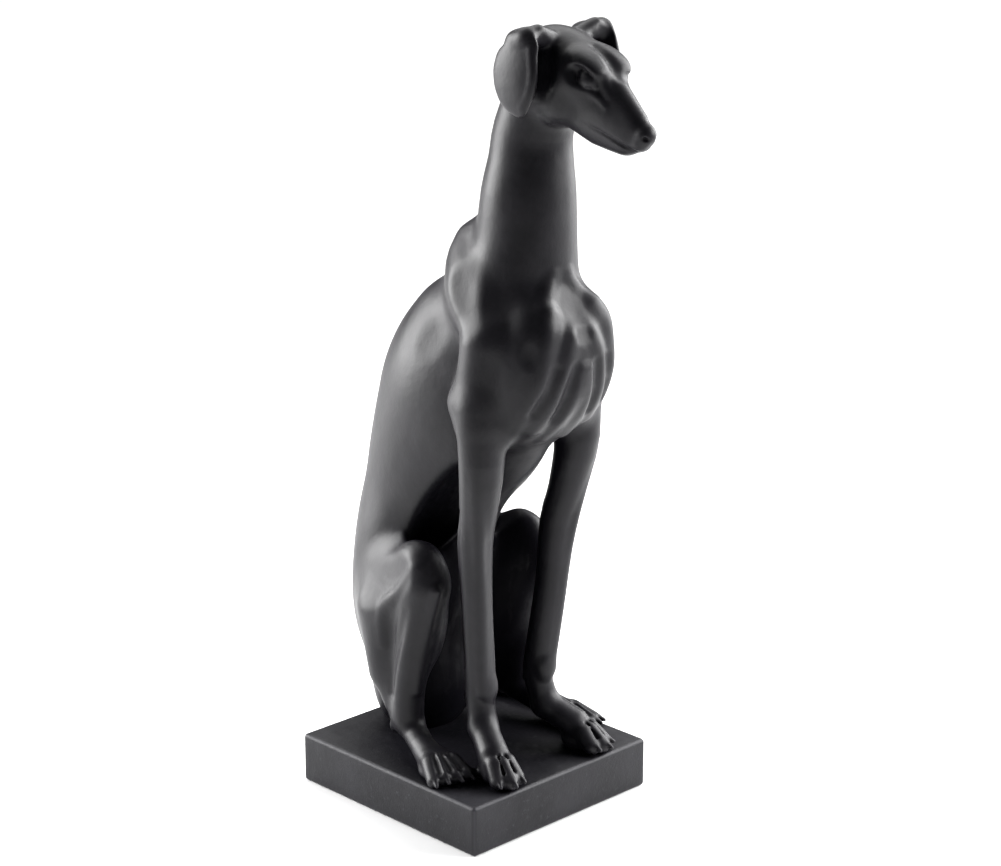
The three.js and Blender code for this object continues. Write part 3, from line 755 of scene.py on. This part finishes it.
def plinth_mesh():
    """A block with rounded edges: a grid on each face, whose outer lines are bent round the edge."""
    size = np.array([PLINTH_WIDTH, PLINTH_DEPTH, PLINTH_HEIGHT])
    bm = bmesh.new()
    for axis in range(3):
        one, two = (axis + 1) % 3, (axis + 2) % 3
        lines_one, lines_two = plinth_lines(size[one]), plinth_lines(size[two])
        for way in (-1, 1):
            spot = np.zeros((len(lines_one), len(lines_two), 3))
            spot[..., one] = lines_one[:, None]
            spot[..., two] = lines_two[None, :]
            spot[..., axis] = way * size[axis] / 2
            core = np.clip(spot, PLINTH_EDGE_RADIUS - size / 2, size / 2 - PLINTH_EDGE_RADIUS)
            out = spot - core
            out /= np.linalg.norm(out, axis=-1, keepdims=True)
            spot = core + out * PLINTH_EDGE_RADIUS + (0, 0, PLINTH_HEIGHT / 2 + low[2])
            made = [[bm.verts.new(p * METRES) for p in row] for row in spot]
            for i in range(len(made) - 1):
                for j in range(len(made[0]) - 1):
                    ring = [made[i][j], made[i + 1][j], made[i + 1][j + 1], made[i][j + 1]]
                    bm.faces.new(ring if way > 0 else ring[::-1])
    bmesh.ops.remove_doubles(bm, verts=bm.verts, dist=0.01 * METRES)
    mesh = bpy.data.meshes.new("plinth")
    bm.to_mesh(mesh)
    bm.free()
    mesh.shade_smooth()
    piece = bpy.data.objects.new("plinth", mesh)
    bpy.context.scene.collection.objects.link(piece)
    return piece


plinth = plinth_mesh()
print("plinth:", len(plinth.data.polygons), "faces")


# %% [markdown]
# ## Wear
# Hands and dusting rub a black casting pale along its ridges, and leave it dull in its hollows. Each point
# of the mesh gets a number for that: above zero on ridges, below zero in hollows. On the dog it comes from
# how the clay's distance bends, on the plinth from how far off the nearest edge is.

# %% Ridges and hollows
RIDGE_STEP = 1.6
RIDGE_GAIN = 3.0
EDGE_BAND = 2.6
NEIGHBOURS = 6


def store(piece, name, values):
    layer = piece.data.attributes.new(name, "FLOAT", "POINT")
    layer.data.foreach_set("value", np.asarray(values, np.float32))


def vertex_array(piece):
    flat = np.empty(3 * len(piece.data.vertices))
    piece.data.vertices.foreach_get("co", flat)
    return flat.reshape(-1, 3) / METRES


def dog_ridges():
    spots = vertex_array(dog) - (0, 0, GROUND)
    around = np.zeros(len(spots))
    for axis in range(3):
        for way in (-RIDGE_STEP, RIDGE_STEP):
            moved = spots.copy()
            moved[:, axis] += way
            around += sample(clay, grid, moved)[0]
    here = sample(clay, grid, spots)[0]
    return np.clip(RIDGE_GAIN * (around / NEIGHBOURS - here) / RIDGE_STEP, -1, 1)


def plinth_ridges():
    spots = vertex_array(plinth) - (0, 0, low[2] + PLINTH_HEIGHT / 2)
    inset = np.array([PLINTH_WIDTH, PLINTH_DEPTH, PLINTH_HEIGHT]) / 2 - np.abs(spots)
    second = np.sort(inset, 1)[:, 1]
    return np.clip(1 - second / EDGE_BAND, 0, 1)


ridges = dog_ridges()
store(dog, "ridge", ridges)
store(plinth, "ridge", plinth_ridges())
print("dog ridges from", round(float(ridges.min()), 2), "to", round(float(ridges.max()), 2))

# %% [markdown]
# Between the legs, under the belly and round the paws the skin is painted darker and its sheen is weakened:
# this is painted shade, where the dog and the plinth keep the light off. A point's shelter is the share of
# the directions in front of it in which the dog or the plinth stands in the way.

# %% Shelter, which sets the painted shade
SHELTER_RAYS = 60
SHELTER_STEP = 4.0
SHELTER_REACH = 100.0
SHELTER_START = 3.0
COARSE = 3


def sphere_directions(count):
    turn = math.pi * (3 - math.sqrt(5))
    z = 1 - (2 * np.arange(count) + 1) / count
    side = np.sqrt(1 - z * z)
    angle = turn * np.arange(count)
    return np.stack([side * np.cos(angle), side * np.sin(angle), z], 1)


def filled_at(spots):
    """Whether the dog or the plinth is there. Spots are measured from the ground under the paws."""
    cells = np.round((spots - origin) / (CELL * COARSE)).astype(np.int32)
    known = np.all((cells >= 0) & (cells < np.array(coarse_dog.shape)), 1)
    cells = np.where(known[:, None], cells, 0)
    in_dog = known & coarse_dog[cells[:, 0], cells[:, 1], cells[:, 2]]
    over_plinth = (np.abs(spots[:, 0]) < PLINTH_WIDTH / 2) & (np.abs(spots[:, 1]) < PLINTH_DEPTH / 2)
    return in_dog | (over_plinth & (spots[:, 2] < 0))


def shelter_of(piece):
    spots = (vertex_array(piece) - (0, 0, GROUND)).astype(np.float32)
    normals = np.empty(3 * len(spots), np.float32)
    piece.data.vertices.foreach_get("normal", normals)
    normals = normals.reshape(-1, 3)
    hidden = np.zeros(len(spots))
    total = np.zeros(len(spots))
    for direction in sphere_directions(SHELTER_RAYS).astype(np.float32):
        weight = np.maximum(normals @ direction, 0)
        total += weight
        open_to = np.flatnonzero(weight > 0)
        for length in np.arange(SHELTER_START, SHELTER_REACH, SHELTER_STEP, dtype=np.float32):
            blocked = filled_at(spots[open_to] + normals[open_to] + direction * length)
            hidden[open_to[blocked]] += weight[open_to[blocked]]
            open_to = open_to[~blocked]
    return hidden / np.maximum(total, TINY)


origin = np.array([axis[0] for axis in grid], np.float32)
coarse_dog = clay[::COARSE, ::COARSE, ::COARSE] < 0
for piece in (dog, plinth):
    painted_shade = shelter_of(piece)
    # stored on the mesh: the resin paints shade into its colour and sheen where this is high
    store(piece, "painted_shade", painted_shade)
    print(piece.name, "is sheltered up to", round(float(painted_shade.max()), 2))

# %% [markdown]
# ## Resin
# The casting is one black resin with a satin skin. The dog was handled smooth. The plinth is a little
# rougher and speckled with dust, with pale worn edges. In sheltered places shade is painted in: the colour
# is darker there and the sheen weaker.

# %% Node helpers
def add_node(tree, kind, values=None, **settings):
    node = tree.nodes.new(kind)
    for name, value in settings.items():
        setattr(node, name, value)
    for name, value in (values or {}).items():
        node.inputs[name].default_value = value
    return node


# %% Surface group: colour, roughness, sheen and height of handled resin, with painted shade in sheltered places
BLOTCH_SCALE = 26
SPECK_SCALE = 420
GRAIN_SCALE = 1100
WAVE_SCALE = 70
WAVE_HEIGHT = 2.4
OPEN_SHEEN = 0.22
# specular level where the painted shade is full
PAINTED_SHADE_SHEEN = 0.03
DULLER_IN_HOLLOWS = 0.25
DULLER_WHERE_PALE = 0.08
# ranges of a mask's value, from where an effect starts to where it is full
RIDGE_RANGE = (0.25, 0.95)
HOLLOW_RANGE = (-0.12, -0.7)
PATCH_RANGE = (0.38, 0.66)
DUST_RANGE = (0.56, 0.7)
SHADE_RANGE = (0.3, 0.72)
DULL_RANGE = (0.3, 0.7)
SHELTER_RANGE = (0.16, 0.6)
# what they give
PATCHY_WEAR = (0.45, 1)
MOST_SHADE = 0.22
DULL_SPREAD = (-0.05, 0.07)
# share of the pale wear that is left where the painted shade is full
PALE_IN_PAINTED_SHADE = 0.25


def resin_group():
    tree = bpy.data.node_groups.new("handled_resin_with_painted_shade", "ShaderNodeTree")
    for name, start in (("Speckle", 0.2), ("Wear", 0.5), ("Dullness", 0.45), ("Grain", 0.3)):
        socket = tree.interface.new_socket(name, in_out="INPUT", socket_type="NodeSocketFloat")
        socket.default_value = start
    tree.interface.new_socket("Dark", in_out="INPUT", socket_type="NodeSocketColor")
    tree.interface.new_socket("Pale", in_out="INPUT", socket_type="NodeSocketColor")
    tree.interface.new_socket("Color", in_out="OUTPUT", socket_type="NodeSocketColor")
    tree.interface.new_socket("Roughness", in_out="OUTPUT", socket_type="NodeSocketFloat")
    tree.interface.new_socket("Height", in_out="OUTPUT", socket_type="NodeSocketFloat")
    tree.interface.new_socket("Sheen", in_out="OUTPUT", socket_type="NodeSocketFloat")
    given = tree.nodes.new("NodeGroupInput")
    result = tree.nodes.new("NodeGroupOutput")
    link = tree.links.new
    place = add_node(tree, "ShaderNodeTexCoord")
    blotch = add_node(tree, "ShaderNodeTexNoise", {"Scale": BLOTCH_SCALE, "Detail": 5, "Roughness": 0.6})
    specks = add_node(tree, "ShaderNodeTexNoise", {"Scale": SPECK_SCALE, "Detail": 3, "Roughness": 0.7})
    grain = add_node(tree, "ShaderNodeTexNoise", {"Scale": GRAIN_SCALE, "Detail": 2})
    waves = add_node(tree, "ShaderNodeTexNoise", {"Scale": WAVE_SCALE, "Detail": 3})
    for node in (blotch, specks, grain, waves):
        link(place.outputs["Object"], node.inputs["Vector"])
    ridge = add_node(tree, "ShaderNodeAttribute", attribute_name="ridge")
    # each point's sheltered share, which drives the painted shade
    painted_shade = add_node(tree, "ShaderNodeAttribute", attribute_name="painted_shade")

    def calc(operation, first, second):
        node = add_node(tree, "ShaderNodeMath", operation=operation)
        for number, value in enumerate((first, second)):
            if isinstance(value, (int, float)):
                node.inputs[number].default_value = value
            else:
                link(value, node.inputs[number])
        return node.outputs["Value"]

    def mapped(value, low_in, high_in, low_out, high_out):
        limits = {"From Min": low_in, "From Max": high_in, "To Min": low_out, "To Max": high_out}
        node = add_node(tree, "ShaderNodeMapRange", limits, clamp=True)
        link(value, node.inputs["Value"])
        return node.outputs["Result"]

    def blended(share, first, second):
        node = add_node(tree, "ShaderNodeMix", data_type="RGBA")
        link(share, node.inputs["Factor"])
        for socket, value in ((node.inputs[6], first), (node.inputs[7], second)):
            link(value, socket)
        return node.outputs[2]

    raised = mapped(ridge.outputs["Fac"], *RIDGE_RANGE, 0, 1)
    sunk = mapped(ridge.outputs["Fac"], *HOLLOW_RANGE, 0, 1)
    patchy = mapped(blotch.outputs["Fac"], *PATCH_RANGE, 0, 1)
    worn = calc("MULTIPLY", raised, mapped(patchy, 0, 1, *PATCHY_WEAR))
    worn = calc("MULTIPLY", worn, given.outputs["Wear"])
    dust = calc("MULTIPLY", mapped(specks.outputs["Fac"], *DUST_RANGE, 0, 1), given.outputs["Speckle"])
    pale_share = calc("MAXIMUM", worn, dust)
    shade = mapped(blotch.outputs["Fac"], *SHADE_RANGE, 0, MOST_SHADE)
    # painted shade: in sheltered places the paler blotchy tone and the pale wear are taken out, so the
    # colour is darker
    unshaded = mapped(painted_shade.outputs["Fac"], *SHELTER_RANGE, 1, 0)
    pale_share = calc("MULTIPLY", pale_share, mapped(unshaded, 0, 1, PALE_IN_PAINTED_SHADE, 1))
    shade = calc("MULTIPLY", shade, unshaded)
    body = blended(calc("MAXIMUM", shade, pale_share), given.outputs["Dark"], given.outputs["Pale"])
    # painted shade in the sheen: it is weakened in sheltered places
    link(mapped(unshaded, 0, 1, PAINTED_SHADE_SHEEN, OPEN_SHEEN), result.inputs["Sheen"])
    link(body, result.inputs["Color"])
    uneven = mapped(blotch.outputs["Fac"], *DULL_RANGE, *DULL_SPREAD)
    dull = calc("ADD", given.outputs["Dullness"], uneven)
    dull = calc("ADD", dull, calc("MULTIPLY", sunk, DULLER_IN_HOLLOWS))
    dull = calc("ADD", dull, calc("MULTIPLY", pale_share, DULLER_WHERE_PALE))
    link(dull, result.inputs["Roughness"])
    height = calc("MULTIPLY", grain.outputs["Fac"], given.outputs["Grain"])
    height = calc("ADD", height, calc("MULTIPLY", waves.outputs["Fac"], WAVE_HEIGHT))
    height = calc("ADD", height, calc("MULTIPLY", specks.outputs["Fac"], given.outputs["Speckle"]))
    link(height, result.inputs["Height"])
    return tree


HANDLED_AND_SHADED = resin_group()
BUMP_STRENGTH = 0.5
BUMP_DEPTH = 0.0003


def resin_material(name, dark, pale, speckle, wear, dullness, grain):
    material = bpy.data.materials.new(name)
    material.use_nodes = True
    tree = material.node_tree
    shader = tree.nodes["Principled BSDF"]
    surface = tree.nodes.new("ShaderNodeGroup")
    surface.node_tree = HANDLED_AND_SHADED
    surface.inputs["Dark"].default_value = (*dark, 1)
    surface.inputs["Pale"].default_value = (*pale, 1)
    surface.inputs["Speckle"].default_value = speckle
    surface.inputs["Wear"].default_value = wear
    surface.inputs["Dullness"].default_value = dullness
    surface.inputs["Grain"].default_value = grain
    bump = add_node(tree, "ShaderNodeBump", {"Strength": BUMP_STRENGTH, "Distance": BUMP_DEPTH})
    tree.links.new(surface.outputs["Color"], shader.inputs["Base Color"])
    tree.links.new(surface.outputs["Roughness"], shader.inputs["Roughness"])
    tree.links.new(surface.outputs["Sheen"], shader.inputs["Specular IOR Level"])
    tree.links.new(surface.outputs["Height"], bump.inputs["Height"])
    tree.links.new(bump.outputs["Normal"], shader.inputs["Normal"])
    return material


# %% Dress the dog and the plinth
dog_resin = resin_material(
    "black_resin", dark=(0.0046, 0.0043, 0.006), pale=(0.052, 0.049, 0.058),
    speckle=0.05, wear=0.35, dullness=0.42, grain=0.25)
plinth_resin = resin_material(
    "speckled_black_resin", dark=(0.0068, 0.0065, 0.0084), pale=(0.07, 0.069, 0.08),
    speckle=0.3, wear=0.8, dullness=0.44, grain=0.6)
for piece, resin in ((dog, dog_resin), (plinth, plinth_resin)):
    piece.data.materials.clear()
    piece.data.materials.append(resin)
    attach(piece, "root")
    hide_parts(NODE)
print("dressed", dog.name, "and", plinth.name)

# %% [markdown]
# ## Floor and light
# The photograph looks as if it was taken on white between tall softboxes. Here one stands behind the dog on
# the left and one on the right, a third one in front on the right lights the breast, and a large one
# overhead whitens the floor. Nothing shines from beside the camera, so the dog is darkest where it faces
# the camera and has soft bright edges.

# %% Floor
FLOOR_HALF = 6.0
FLOOR_COLOUR = (0.95, 0.95, 0.95, 1)
FLOOR_ROUGHNESS = 0.9


def floor_plane():
    corners = [(x * FLOOR_HALF, y * FLOOR_HALF, 0) for x, y in ((-1, -1), (1, -1), (1, 1), (-1, 1))]
    mesh = bpy.data.meshes.new("floor")
    mesh.from_pydata(corners, [], [(0, 1, 2, 3)])
    piece = bpy.data.objects.new("floor", mesh)
    bpy.context.scene.collection.objects.link(piece)
    material = bpy.data.materials.new("floor")
    material.use_nodes = True
    shader = material.node_tree.nodes["Principled BSDF"]
    shader.inputs["Base Color"].default_value = FLOOR_COLOUR
    shader.inputs["Roughness"].default_value = FLOOR_ROUGHNESS
    mesh.materials.append(material)
    return piece


floor_plane()
print("floor", 2 * FLOOR_HALF, "m wide")

# %% Lights
WORLD_LIGHT = 0.04
WHITE = (1, 1, 1, 1)


def softbox(name, place, aim, size, power, spread):
    """A soft light: place, aim and size in metres, power in watts, spread in degrees."""
    data = bpy.data.lights.new(name, "AREA")
    data.shape = "RECTANGLE"
    data.size, data.size_y = size
    data.energy = power
    data.spread = math.radians(spread)
    lamp = bpy.data.objects.new(name, data)
    lamp.location = place
    lamp.rotation_euler = (Vector(aim) - Vector(place)).to_track_quat("-Z", "Y").to_euler()
    bpy.context.scene.collection.objects.link(lamp)
    return lamp


MIDDLE = (0, 0, 0.2)
softbox("left_box", (-0.75, 1.4, 0.6), MIDDLE, (1.1, 1.2), 26, 100)
softbox("right_box", (1.35, -0.15, 0.65), MIDDLE, (0.7, 1.2), 11, 100)
softbox("chest_box", (1.0, -0.95, 0.8), (0, -0.05, 0.25), (0.9, 1.0), 11, 90)
softbox("floor_box", (1.5, 1.5, 2.2), (1.6, 1.6, 0), (3.4, 3.4), 130, 180)

world = bpy.data.worlds.new("studio")
bpy.context.scene.world = world
world.use_nodes = True
world.node_tree.nodes["Background"].inputs["Color"].default_value = WHITE
world.node_tree.nodes["Background"].inputs["Strength"].default_value = WORLD_LIGHT
bpy.context.scene.view_settings.view_transform = "Standard"
